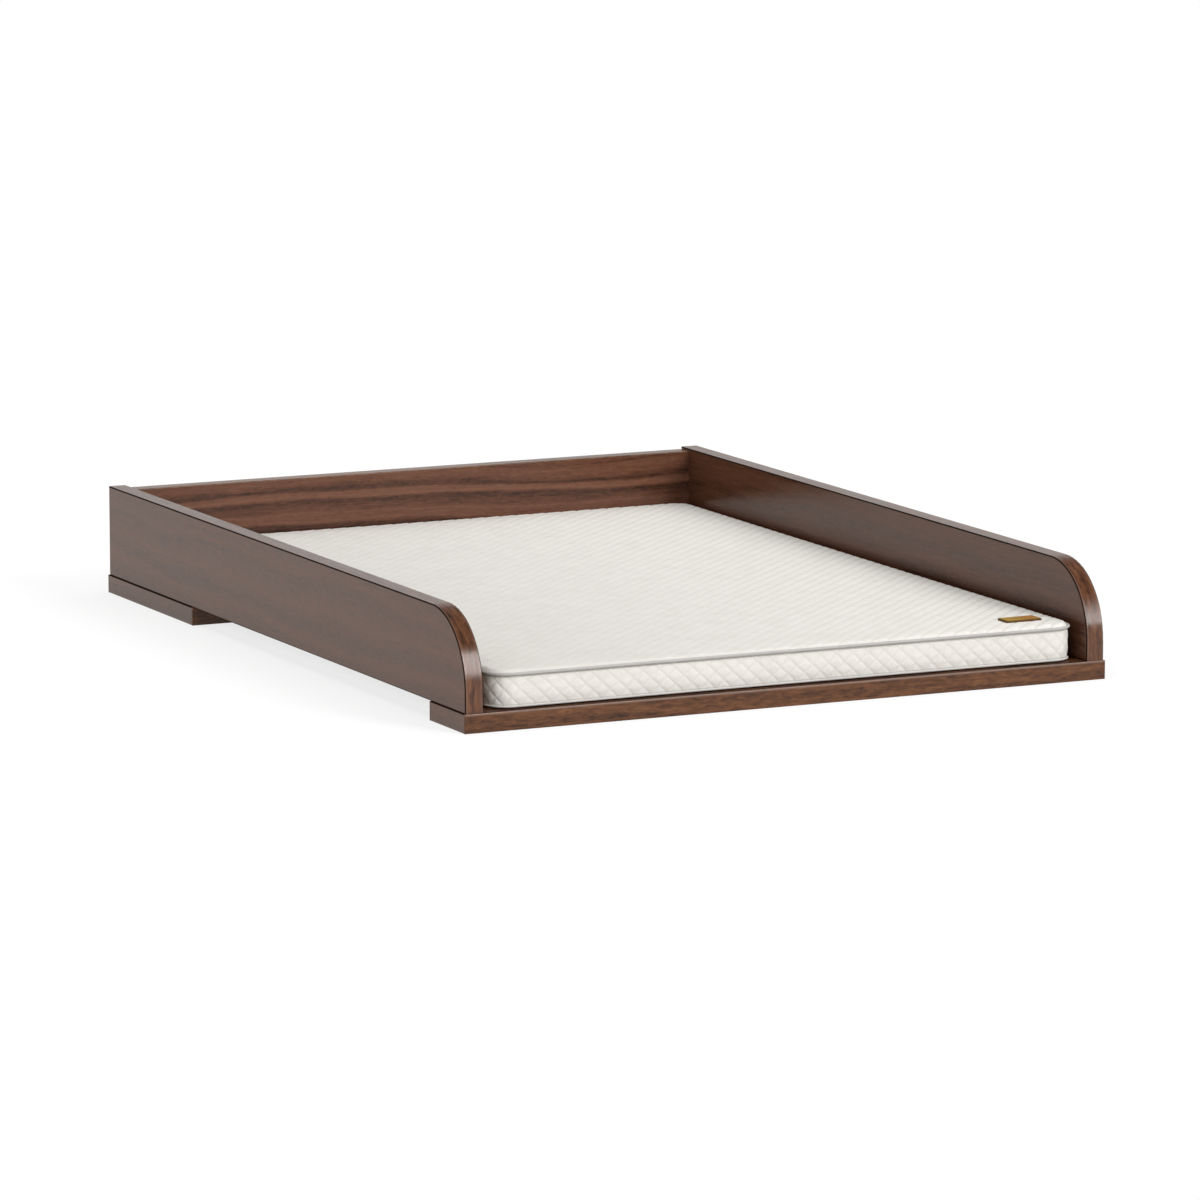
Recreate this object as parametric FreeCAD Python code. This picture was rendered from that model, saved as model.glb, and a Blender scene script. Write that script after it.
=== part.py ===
import FreeCAD, Part
import math
import os

from FreeCAD import Vector

# Changing top: an open veneered tray that stands on a dresser, with a thin quilted mattress lying in it.
# Millimetres, +Z up. X runs across, Y from the open front (negative) to the back panel (positive).
# The origin is the middle of the footprint, on the surface that the two base rails stand on.

# Tray boards, finished sizes with their edge bands
overall_width = 550.0
overall_depth = 720.0
board_thickness = 15.0
side_panel_height = 75.0
front_corner_radius = 60.0
front_rail_depth = 65.0
rear_rail_depth = 185.0
back_panel_drop = 2.0

# How far the base rails stand proud of the panels above them
side_reveal = 1.0
front_reveal = 1.5
rear_reveal = 1.5

# Edge bands and eased edges
band_thickness = 1.0
band_arris_radius = 0.7
largest_arris_share = 0.9
panel_foot_chamfer = 0.5

# Room round every fastener in its hole, and past its end
fastener_clearance = 0.1
hole_end_gap = 1.0

# Blunt furniture screws, driven up through the rails
screw_length = 40.0
screw_shank_diameter = 4.5
screw_head_diameter = 9.0
screw_head_height = 3.0
screw_head_recess = 0.4
screw_socket_width = 3.0
screw_socket_depth = 1.8
back_screw_spacing = 300.0

# Fluted wooden dowels, one at each end of the back panel
dowel_diameter = 8.0
dowel_length = 30.0
dowel_short_end = 10.0
dowel_chamfer = 1.0
dowel_flutes = 12
dowel_above_cam = 32.0

# Cam fittings between the back panel and the side panels
cam_diameter = 15.0
cam_depth = 12.0
cam_setback = 24.0
cam_height_above_rail = 24.0
cam_slot_width = 8.0
cam_cross_length = 7.0
cam_cross_width = 1.6
cam_cross_depth = 2.5
bolt_thread_diameter = 6.0
bolt_thread_length = 11.0
bolt_shaft_diameter = 5.0
bolt_head_diameter = 7.0
bolt_head_length = 3.0

# Screw holes for fastening the tray to a dresser, countersunk from above
mount_hole_diameter = 5.0
mount_hole_spacing = 400.0
mount_countersink_diameter = 10.0

# Mattress: where it lies in the tray
mattress_front_setback = 5.0
mattress_rear_gap = 1.0
mattress_left_gap = 8.5
mattress_right_gap = 4.5
rail_clearance = 0.3

# Mattress: sewn cover and foam
mattress_corner_radius = 20.0
mattress_draw_in = 1.0
piping_diameter = 3.6
piping_flats = 8
foam_height = 23.0
bottom_cover_thickness = 2.0
top_cover_edge_thickness = 2.6
crown_rise = 3.2
crown_span = 60.0
crown_steps = 5
crown_corner_growth = 0.5
border_setback = 1.6
border_pull = 0.6
border_thickness = 2.4
seam_clearance = 0.1

# Leather label sewn on the mattress's top at the front right corner
label_width = 30.0
label_depth = 16.0
label_thickness = 1.0
label_corner_radius = 1.5
label_seat_gap = 0.2
label_from_right = 20.0
label_from_front = 27.0

# Places worked out from the sizes above
up = Vector(0, 0, 1)
arris_radius = min(band_arris_radius, largest_arris_share * band_thickness)
half_width = overall_width / 2
half_depth = overall_depth / 2
rail_top = board_thickness
tray_top = rail_top + side_panel_height
panel_outer_x = half_width - side_reveal
panel_inner_x = panel_outer_x - board_thickness
panel_middle_x = (panel_outer_x + panel_inner_x) / 2
panel_front_y = front_reveal - half_depth
panel_rear_y = half_depth - rear_reveal
back_front_y = panel_rear_y - board_thickness
back_middle_y = (panel_rear_y + back_front_y) / 2
back_top = tray_top - back_panel_drop
front_rail_span = (-half_depth, front_rail_depth - half_depth)
rear_rail_span = (half_depth - rear_rail_depth, half_depth)
cam_x = panel_inner_x - cam_setback
cam_z = rail_top + cam_height_above_rail

mattress_left_x = mattress_left_gap - panel_inner_x
mattress_right_x = panel_inner_x - mattress_right_gap
mattress_front_y = mattress_front_setback - half_depth
mattress_rear_y = back_front_y - mattress_rear_gap
mattress_centre_x = (mattress_left_x + mattress_right_x) / 2
mattress_centre_y = (mattress_front_y + mattress_rear_y) / 2
mattress_half_width = (mattress_right_x - mattress_left_x) / 2
mattress_half_length = (mattress_rear_y - mattress_front_y) / 2
piping_radius = piping_diameter / 2
foam_bottom = rail_top + bottom_cover_thickness
foam_top = foam_bottom + foam_height
cover_edge_top = foam_top + top_cover_edge_thickness
bottom_piping_z = rail_top + rail_clearance + piping_radius
top_piping_z = foam_top + top_cover_edge_thickness / 2


def middle(span):
    return (span[0] + span[1]) / 2


def slab(x_span, y_span, z_span):
    size = [span[1] - span[0] for span in (x_span, y_span, z_span)]
    return Part.makeBox(*size, Vector(x_span[0], y_span[0], z_span[0]))


def mirrored(shape):
    """The same piece on the tray's left side."""
    return shape.mirror(Vector(0, 0, 0), Vector(1, 0, 0))


def edges_on(shape, axis, value):
    """Edges that lie wholly in the plane where the axis has that value."""
    def lies_there(edge):
        points = edge.discretize(3)
        return all(abs(getattr(point, axis) - value) < 1e-6 for point in points)
    return [edge for edge in shape.Edges if lies_there(edge)]


def eased(band, axis, value):
    """The band with an arris round the edges of its outer face."""
    return band.makeFillet(arris_radius, edges_on(band, axis, value))


def turned(profile):
    """Solid of revolution about Z of a profile given as (radius, height) points, closed along the axis."""
    points = [Vector(radius, 0, height) for radius, height in profile]
    face = Part.Face(Part.makePolygon(points + points[:1]))
    return face.revolve(Vector(0, 0, 0), up, 360)


def pointing(shape, direction, place):
    """A shape made along +Z, turned to a direction and moved to a place."""
    moved = shape.copy()
    turn = FreeCAD.Rotation(up, direction)
    moved.Placement = FreeCAD.Placement(place, turn)
    return moved


def standing_at(places, shape):
    return [pointing(shape, up, place) for place in places]


def polygon(sides, corner_radius, height):
    """Regular outline about the Z axis, with a flat towards -X and its corners at a radius."""
    angles = [math.pi * (2 * turn + 1) / sides for turn in range(sides + 1)]
    corners = [Vector(math.cos(angle), math.sin(angle), 0) * corner_radius for angle in angles]
    return Part.makePolygon([corner + up * height for corner in corners])


def cut_all(shape, cutters):
    return shape.cut(Part.makeCompound(cutters))


# Fasteners and their holes, made along +Z from the joint's reference plane

def screw():
    head = screw_head_diameter / 2
    shank = screw_shank_diameter / 2
    start = screw_head_recess
    body = turned([
        (0, start),
        (head, start),
        (shank, start + screw_head_height),
        (shank, start + screw_length),
        (0, start + screw_length),
    ])
    socket_corner = screw_socket_width / math.sqrt(3)
    socket = Part.Face(polygon(6, socket_corner, start)).extrude(up * screw_socket_depth)
    return body.cut(socket)


def screw_hole():
    """Countersunk from the underside, a little deeper than the head."""
    shank = screw_shank_diameter / 2 + fastener_clearance
    head = screw_head_diameter / 2 + fastener_clearance
    sink_end = screw_head_recess + screw_head_height
    mouth = head + screw_head_recess * (head - shank) / screw_head_height
    end = screw_head_recess + screw_length + hole_end_gap
    return turned([(0, 0), (mouth, 0), (shank, sink_end), (shank, end), (0, end)])


def dowel():
    """Reference plane at the joint: the short end points down, the long end up."""
    radius = dowel_diameter / 2
    low = -dowel_short_end
    high = low + dowel_length
    levels = [
        (radius - dowel_chamfer, low),
        (radius, low + dowel_chamfer),
        (radius, high - dowel_chamfer),
        (radius - dowel_chamfer, high),
    ]
    return Part.makeLoft([polygon(dowel_flutes, *level) for level in levels], True, True)


def dowel_hole():
    radius = dowel_diameter / 2 + fastener_clearance
    low = -dowel_short_end - hole_end_gap
    return Part.makeCylinder(radius, dowel_length + 2 * hole_end_gap, Vector(0, 0, low))


def cam_bolt():
    """Reference plane at the side panel's inner face: the thread points down, the head up."""
    thread = bolt_thread_diameter / 2
    shaft = bolt_shaft_diameter / 2
    head = bolt_head_diameter / 2
    head_end = cam_setback + bolt_head_length / 2
    return turned([
        (0, -bolt_thread_length),
        (thread, -bolt_thread_length),
        (thread, 0),
        (shaft, 0),
        (shaft, head_end - bolt_head_length),
        (head, head_end - bolt_head_length),
        (head, head_end),
        (0, head_end),
    ])


def cam_bolt_hole():
    """Thread hole in the side panel and the wider hole through the back panel's end, as far as the cam."""
    thread = bolt_thread_diameter / 2 + fastener_clearance
    passage = bolt_head_diameter / 2 + fastener_clearance
    return turned([
        (0, -bolt_thread_length - hole_end_gap),
        (thread, -bolt_thread_length - hole_end_gap),
        (thread, 0),
        (passage, 0),
        (passage, cam_setback),
        (0, cam_setback),
    ])


def cam_lock():
    """Reference plane at the back panel's rear face: the cam goes down into the board."""
    radius = cam_diameter / 2 - fastener_clearance
    body = Part.makeCylinder(radius, cam_depth, Vector(0, 0, -cam_depth))
    half_slot = cam_slot_width / 2
    bolt_depth = board_thickness / 2
    slot_depths = (-bolt_depth - half_slot, half_slot - bolt_depth)
    slot = slab((-half_slot, cam_diameter), (-half_slot, half_slot), slot_depths)
    arm = cam_cross_length / 2
    half_arm = cam_cross_width / 2
    cross_span = (-cam_cross_depth, 0)
    cross = [
        slab((-arm, arm), (-half_arm, half_arm), cross_span),
        slab((-half_arm, half_arm), (-arm, arm), cross_span),
    ]
    return cut_all(body, [slot] + cross)


def mount_hole():
    radius = mount_hole_diameter / 2
    head = mount_countersink_diameter / 2
    return turned([
        (0, 0),
        (radius, 0),
        (radius, rail_top - (head - radius)),
        (head, rail_top),
        (0, rail_top),
    ])


# Where the fasteners go, on the tray's right half or along the back

def on_rail_middles(x):
    return [Vector(x, middle(span), 0) for span in (front_rail_span, rear_rail_span)]


def both_sides(places):
    return places + [Vector(-place.x, place.y, place.z) for place in places]


def screw_places():
    back_place = Vector(back_screw_spacing / 2, back_middle_y, 0)
    return both_sides(on_rail_middles(panel_middle_x) + [back_place])


def mount_places():
    return both_sides(on_rail_middles(mount_hole_spacing / 2))


def rail_cutters():
    return standing_at(screw_places(), screw_hole()) + standing_at(mount_places(), mount_hole())


def right_end_fittings(bolt, end_dowel):
    """A bolt-like and a dowel-like shape at the back panel's right end, long ends towards the middle."""
    inward = Vector(-1, 0, 0)
    bolt_place = Vector(panel_inner_x, back_middle_y, cam_z)
    dowel_place = bolt_place + up * dowel_above_cam
    return [pointing(bolt, inward, bolt_place), pointing(end_dowel, inward, dowel_place)]


def right_cam(cam):
    """A cam-like shape let into the back panel's rear face near its right end."""
    cam.rotate(Vector(0, 0, 0), Vector(1, 0, 0), -90)
    return cam.translate(Vector(cam_x, panel_rear_y, cam_z))


def cam_hole():
    return Part.makeCylinder(cam_diameter / 2, cam_depth, Vector(0, 0, -cam_depth))


# Base rails

def base_rail(name, span):
    """A rail's board and its four edge bands, the long bands covering the ends of the short ones."""
    inner_x = half_width - band_thickness
    inner_span = (span[0] + band_thickness, span[1] - band_thickness)
    z_span = (0, rail_top)
    board = slab((-inner_x, inner_x), inner_span, z_span)
    full_x = (-half_width, half_width)
    right_band = eased(slab((inner_x, half_width), inner_span, z_span), "x", half_width)
    return {
        name + "_base_rail": cut_all(board, rail_cutters()),
        name + "_rail_front_edge_band": eased(slab(full_x, (span[0], inner_span[0]), z_span), "y", span[0]),
        name + "_rail_rear_edge_band": eased(slab(full_x, (inner_span[1], span[1]), z_span), "y", span[1]),
        name + "_rail_right_edge_band": right_band,
        name + "_rail_left_edge_band": mirrored(right_band),
    }


# Side panels

def side_outline(inset):
    """Front, rounded corner and top of a side panel, from its front foot to its rear end."""
    front = panel_front_y + inset
    top = tray_top - inset
    radius = front_corner_radius - inset
    centre = Vector(0, front + radius, top - radius)
    corner_middle = centre + Vector(0, -radius, radius) * math.sqrt(0.5)
    foot = Vector(0, front, rail_top)
    corner_start = Vector(0, front, centre.z)
    corner_end = Vector(0, centre.y, top)
    rear = Vector(0, panel_rear_y, top)
    return [
        Part.makeLine(foot, corner_start),
        Part.Arc(corner_start, corner_middle, corner_end).toShape(),
        Part.makeLine(corner_end, rear),
    ]


def side_prism(edges):
    """Closes a chain of edges in the YZ plane and gives it the right side panel's thickness."""
    first = edges[0].Vertexes[0].Point
    last = edges[-1].Vertexes[-1].Point
    wire = Part.Wire(edges + [Part.makeLine(last, first)])
    solid = Part.Face(wire).extrude(Vector(board_thickness, 0, 0))
    solid.translate(Vector(panel_inner_x, 0, 0))
    return solid


def side_panel():
    inner = side_outline(band_thickness)
    panel_rear = panel_rear_y - band_thickness
    top_end = inner[-1].Vertexes[-1].Point
    rear_foot = Vector(0, panel_rear_y, rail_top)
    whole = side_prism(inner + [Part.makeLine(top_end, rear_foot)])
    x_span = (panel_inner_x, panel_outer_x)
    core = whole.cut(slab(x_span, (panel_rear, panel_rear_y), (rail_top, tray_top)))
    foot_edges = [
        edge for edge in edges_on(core, "z", rail_top)
        if edges_on(edge, "x", panel_inner_x) or edges_on(edge, "x", panel_outer_x)
    ]
    core = core.makeChamfer(panel_foot_chamfer, foot_edges)
    cutters = standing_at(screw_places(), screw_hole())
    cutters += right_end_fittings(cam_bolt_hole(), dowel_hole())
    return cut_all(core, cutters)


def side_edge_band():
    """One strip along the top, round the front corner and down the front edge."""
    outer = side_outline(0)
    inner = side_outline(band_thickness)
    end_joint = Part.makeLine(outer[-1].Vertexes[-1].Point, inner[-1].Vertexes[-1].Point)
    foot_joint = Part.makeLine(inner[0].Vertexes[0].Point, outer[0].Vertexes[0].Point)
    wire = Part.Wire(Part.__sortEdges__(outer + [end_joint] + inner + [foot_joint]))
    band = Part.Face(wire).extrude(Vector(board_thickness, 0, 0))
    band.translate(Vector(panel_inner_x, 0, 0))
    return band.makeFillet(arris_radius, outer_side_edges(band))


def outer_side_edges(band):
    """Edges where a side band's outer surface meets the panel's two faces."""
    corner_centre = Vector(0, panel_front_y + front_corner_radius, tray_top - front_corner_radius)
    def on_outline(point):
        if point.y < corner_centre.y and point.z > corner_centre.z:
            reach = Vector(0, point.y, point.z).distanceToPoint(corner_centre)
            return abs(reach - front_corner_radius) < 1e-4
        return abs(point.y - panel_front_y) < 1e-4 or abs(point.z - tray_top) < 1e-4
    side_edges = edges_on(band, "x", panel_inner_x) + edges_on(band, "x", panel_outer_x)
    return [edge for edge in side_edges if all(on_outline(point) for point in edge.discretize(3))]


def side_rear_edge_band():
    y_span = (panel_rear_y - band_thickness, panel_rear_y)
    band = slab((panel_inner_x, panel_outer_x), y_span, (rail_top, tray_top - band_thickness))
    return eased(band, "y", panel_rear_y)


def side_pieces():
    right = {
        "side_panel": side_panel(),
        "side_edge_band": side_edge_band(),
        "side_rear_edge_band": side_rear_edge_band(),
    }
    pieces = {"right_" + name: shape for name, shape in right.items()}
    pieces.update({"left_" + name: mirrored(shape) for name, shape in right.items()})
    return pieces


# Back panel

def back_pieces():
    x_span = (-panel_inner_x, panel_inner_x)
    y_span = (back_front_y, panel_rear_y)
    board_top = back_top - band_thickness
    board = slab(x_span, y_span, (rail_top, board_top))
    cutters = standing_at(screw_places(), screw_hole())
    ends = right_end_fittings(cam_bolt_hole(), dowel_hole()) + [right_cam(cam_hole())]
    cutters += ends + [mirrored(shape) for shape in ends]
    band = slab(x_span, y_span, (board_top, back_top))
    long_edges = [
        edge for edge in edges_on(band, "z", back_top)
        if edges_on(edge, "y", back_front_y) or edges_on(edge, "y", panel_rear_y)
    ]
    return {
        "back_panel": cut_all(board, cutters),
        "back_panel_top_edge_band": band.makeFillet(arris_radius, long_edges),
    }


# Fasteners as groups of separate solids

def fastener_groups():
    bolt, end_dowel = right_end_fittings(cam_bolt(), dowel())
    cam = right_cam(cam_lock())
    groups = {
        "rail_screws": standing_at(screw_places(), screw()),
        "back_panel_dowels": [end_dowel, mirrored(end_dowel)],
        "cam_bolts": [bolt, mirrored(bolt)],
        "cam_locks": [cam, mirrored(cam)],
    }
    return {name: Part.makeCompound(solids) for name, solids in groups.items()}


# Mattress

def cushion_outline(inset, height, corner_radius):
    """Outline with round corners and sides drawn in between them: eight arcs that run into each other."""
    half_x = mattress_half_width - inset
    half_y = mattress_half_length - inset
    corner_x = half_x - corner_radius
    corner_y = half_y - corner_radius

    def side_radius(reach):
        return (reach ** 2 + mattress_draw_in ** 2) / (2 * mattress_draw_in) - corner_radius

    def meeting(corner, side_centre):
        return corner + (side_centre - corner).normalize() * corner_radius

    x_centre = Vector(half_x - mattress_draw_in + side_radius(corner_y), 0, 0)
    y_centre = Vector(0, half_y - mattress_draw_in + side_radius(corner_x), 0)
    arcs = []
    for sign_x, sign_y in ((1, -1), (1, 1), (-1, 1), (-1, -1)):
        corner = Vector(sign_x * corner_x, sign_y * corner_y, 0)
        on_x_side = meeting(corner, x_centre * sign_x)
        on_y_side = meeting(corner, y_centre * sign_y)
        outermost = corner + Vector(sign_x, sign_y, 0) * (corner_radius * math.sqrt(0.5))
        arcs.append((on_y_side, outermost, on_x_side))
    right_middle = Vector(half_x - mattress_draw_in, 0, 0)
    rear_middle = Vector(0, half_y - mattress_draw_in, 0)
    front_right, rear_right, rear_left, front_left = arcs
    chain = [
        front_right,
        (front_right[2], right_middle, rear_right[2]),
        rear_right[::-1],
        (rear_right[0], rear_middle, rear_left[0]),
        rear_left,
        (rear_left[2], right_middle * -1, front_left[2]),
        front_left[::-1],
        (front_left[0], rear_middle * -1, front_right[0]),
    ]
    place = Vector(mattress_centre_x, mattress_centre_y, height)
    edges = [Part.Arc(*[point + place for point in arc]).toShape() for arc in chain]
    return Part.Wire(edges)


def parallel_outline(inset, height):
    """The mattress's outline moved inwards all round."""
    return cushion_outline(inset, height, mattress_corner_radius - inset)


def prism(inset, low, high):
    return Part.Face(parallel_outline(inset, low)).extrude(up * (high - low))


def top_cover():
    """Quilted panel: an upright edge against the piping, then a quarter ellipse up to a flat crown."""
    edge_inset = piping_diameter + seam_clearance
    wires = [parallel_outline(edge_inset, foam_top)]
    for step in range(crown_steps + 1):
        angle = math.radians(90 * step / crown_steps)
        inward = crown_span * (1 - math.cos(angle))
        corner = mattress_corner_radius - edge_inset + crown_corner_growth * inward
        height = cover_edge_top + crown_rise * math.sin(angle)
        wires.append(cushion_outline(edge_inset + inward, height, corner))
    return Part.makeLoft(wires, True, True)


def border():
    """Quilted band round the foam, fullest between its seams and pulled in at both."""
    low = bottom_piping_z + piping_radius + seam_clearance
    high = top_piping_z - piping_radius - seam_clearance
    quarter = (high - low) / 4
    outer_levels = [
        (border_setback + border_pull, low),
        (border_setback, low + quarter),
        (border_setback, high - quarter),
        (border_setback + border_pull, high),
    ]
    inner_inset = border_setback + border_thickness
    inner_levels = [(inner_inset, low), (inner_inset, high)]
    return ruled(outer_levels).cut(ruled(inner_levels))


def ruled(levels):
    """Solid through the mattress's outline at several insets and heights."""
    return Part.makeLoft([parallel_outline(*level) for level in levels], True, True)


def foam_inset():
    return border_setback + border_thickness + seam_clearance


def piping(height):
    """Cord sewn along a seam, its round section kept to a few flats."""
    path = parallel_outline(piping_radius, height)
    first = path.Edges[0]
    corner_radius = piping_radius / math.cos(math.pi / piping_flats)
    section = polygon(piping_flats, corner_radius, 0)
    placed = pointing(section, first.tangentAt(first.FirstParameter), first.Vertexes[0].Point)
    return path.makePipeShell([placed], True, False)


def height_on(cover, place):
    """The place lifted to the cover's top."""
    probe = Part.makeLine(place + up * foam_top, place + up * tray_top)
    return place + up * cover.common(probe).BoundBox.ZMax


def label(cover):
    """Stiff flat patch that lies along the crown's slope: it rests near three of its corners."""
    right = mattress_right_x - label_from_right
    front = mattress_front_y + label_from_front
    left = right - label_width
    rear = front + label_depth
    front_left = height_on(cover, Vector(left, front, 0)) + up * label_seat_gap
    across = height_on(cover, Vector(right, front, 0)) + up * label_seat_gap - front_left
    along = height_on(cover, Vector(left, rear, 0)) + up * label_seat_gap - front_left
    corners = [front_left, front_left + across, front_left + across + along, front_left + along]
    plate = Part.Face(Part.makePolygon(corners + corners[:1])).extrude(up * label_thickness)
    upright = [edge for edge in plate.Edges if abs(edge.tangentAt(edge.FirstParameter).z) > 0.5]
    return plate.makeFillet(label_corner_radius, upright)


def mattress_pieces():
    cover = top_cover()
    bottom_inset = piping_diameter + seam_clearance
    return {
        "mattress_foam_core": prism(foam_inset(), foam_bottom, foam_top),
        "mattress_top_cover": cover,
        "mattress_bottom_cover": prism(bottom_inset, rail_top, foam_bottom),
        "mattress_border": border(),
        "mattress_top_piping": piping(top_piping_z),
        "mattress_bottom_piping": piping(bottom_piping_z),
        "mattress_label": label(cover),
    }


def main():
    nodes = {}
    nodes.update(base_rail("front", front_rail_span))
    nodes.update(base_rail("rear", rear_rail_span))
    nodes.update(side_pieces())
    nodes.update(back_pieces())
    nodes.update(fastener_groups())
    nodes.update(mattress_pieces())
    os.makedirs("parts", exist_ok=True)
    for name, shape in nodes.items():
        shape.exportStep("parts/" + name + ".step")
        state = "valid" if shape.isValid() else "invalid"
        print(name, len(shape.Solids), "solids", round(shape.Volume, 1), "mm3", state)


main()
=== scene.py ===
"""The changing top as it looks: a tray of walnut veneered boards and a quilted mattress lying in it."""
import math

import bpy
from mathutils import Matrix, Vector
from mathutils.bvhtree import BVHTree


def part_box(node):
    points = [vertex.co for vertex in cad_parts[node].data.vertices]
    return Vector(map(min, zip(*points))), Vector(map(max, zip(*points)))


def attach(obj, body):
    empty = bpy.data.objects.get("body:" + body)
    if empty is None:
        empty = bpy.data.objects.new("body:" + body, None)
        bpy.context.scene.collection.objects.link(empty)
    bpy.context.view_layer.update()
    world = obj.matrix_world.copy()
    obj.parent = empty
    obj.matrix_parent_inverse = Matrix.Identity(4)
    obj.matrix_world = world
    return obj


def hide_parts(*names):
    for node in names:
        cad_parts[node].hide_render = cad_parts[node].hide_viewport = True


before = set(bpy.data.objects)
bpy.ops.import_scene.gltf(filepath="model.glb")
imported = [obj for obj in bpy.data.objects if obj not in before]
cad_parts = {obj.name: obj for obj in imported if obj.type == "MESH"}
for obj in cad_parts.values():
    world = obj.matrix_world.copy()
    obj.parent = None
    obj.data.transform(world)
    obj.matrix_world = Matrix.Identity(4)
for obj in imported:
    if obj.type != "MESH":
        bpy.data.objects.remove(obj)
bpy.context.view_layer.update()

MM = 0.001

# Camera, as worked out from the photograph's straight edges.
camera_place = (-2.4946, -5.2338, 0.9998)
camera_turn = (math.radians(80.4848), math.radians(-0.012), math.radians(-25.5659))
camera_lens = 217.97
camera_sensor = 36.0

# Mattress, from the solids that it replaces.
piping_low, piping_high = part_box("mattress_top_piping")
bottom_piping_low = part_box("mattress_bottom_piping")[0]
bottom_cover_low, bottom_cover_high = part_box("mattress_bottom_cover")
foam_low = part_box("mattress_foam_core")[0]
label_low, label_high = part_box("mattress_label")
label_shift = 0.8 * MM
label_growth = 0.4 * MM
label_middle = (label_low + label_high) / 2 + Vector((label_shift, 0, 0))
label_thickness = label_high.z - label_low.z
label_half = ((label_high.x - label_low.x) / 2 + label_growth, (label_high.y - label_low.y) / 2)
label_bevel = 0.4 * MM
label_corner = 0.5 * MM
label_depth = 1.5 * label_thickness
label_cells = (30, 16)
label_press = 3 * MM
mattress_centre = (piping_low + piping_high) / 2
half_width = (piping_high.x - piping_low.x) / 2
half_length = (piping_high.y - piping_low.y) / 2
top_piping_z = (piping_low.z + piping_high.z) / 2
corner_radius = 20 * MM
draw_in = 1 * MM

# Crown of the mattress top.
seam_inset = 3.0 * MM
edge_top = 42.6 * MM
pad_voxel = 5 * MM
pad_pressure = 4.0
swell_frames = 20
swell_rise = 0.4 * MM
swell_gain = 1.55
swell_span = 60 * MM
rim_rise = 1.3 * MM
rim_span = 4 * MM
side_bead_rise = 1.4 * MM
side_bead_span = 8 * MM
gather_rise = 0.10 * MM
gather_pitch = 7 * MM
high_above = 1.0

# Rings below an edge: outset and drop for the pad, outset and share of the depth for the base cloth.
pad_rings = ((0.3 * MM, 0.8 * MM), (0.2 * MM, 1.5 * MM), (-3.5 * MM, 2.2 * MM))
base_rings = ((0.0, 0.2), (-2 * MM, 0.55), (-5 * MM, 0.85), (-10 * MM, 1.0))
base_cells = (50, 70)

# Quilting of the mattress top.
cells_per_diamond = 7
top_half = (half_width - seam_inset, half_length - seam_inset)
top_cells = (244, 360)
top_diamond = tuple(2 * side / cells * cells_per_diamond for side, cells in zip(top_half, top_cells))
top_stitch_shift = 2 / cells_per_diamond
top_puff = 0.68 * MM
top_puff_lean = 0.4
# Strengths of the painted shade in the stitch lines.
top_groove_shade = 0.43
border_groove_shade = 0.20
side_puff_fade = 9 * MM
end_puff_fade = 3 * MM
puff_spread = 0.25
groove_share = 0.30
groove_shade_reach = 0.45
cross_depth = 0.66
dome_share = 0.45
uneven_steps = (12.9898, 78.233)
uneven_scale = 43758.5453

# Border between the two pipings.
border_diamond_count = 172
border_diamond_height = 12.8 * MM
border_cells = 16
border_inset = 3.3 * MM
border_bulge = 0.7 * MM
border_thickness = 2.4 * MM
border_tuck = 1.5 * MM
border_pull_top = 1.8 * MM
border_pull_bottom = 0.2 * MM
border_stitch_shift = (-7 / border_cells, -3 / border_cells)
border_puff = 0.88 * MM

# The piping cords, as thin as the photograph shows them.
piping_sides = 12
piping_steps = 1200
top_roll_radius = 1.1 * MM
top_roll_rise = 0.4 * MM
top_roll_z = top_piping_z + top_roll_rise
top_roll_setback = 0.4 * MM
bottom_roll_radius = 0.9 * MM
bottom_roll_rise = 1.5 * MM
bottom_roll_z = bottom_piping_low.z + bottom_roll_rise
bottom_roll_setback = 1.4 * MM
border_low = bottom_roll_z + 0.3 * bottom_roll_radius
border_high = top_roll_z - 1.6 * top_roll_radius


# Node graphs

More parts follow.
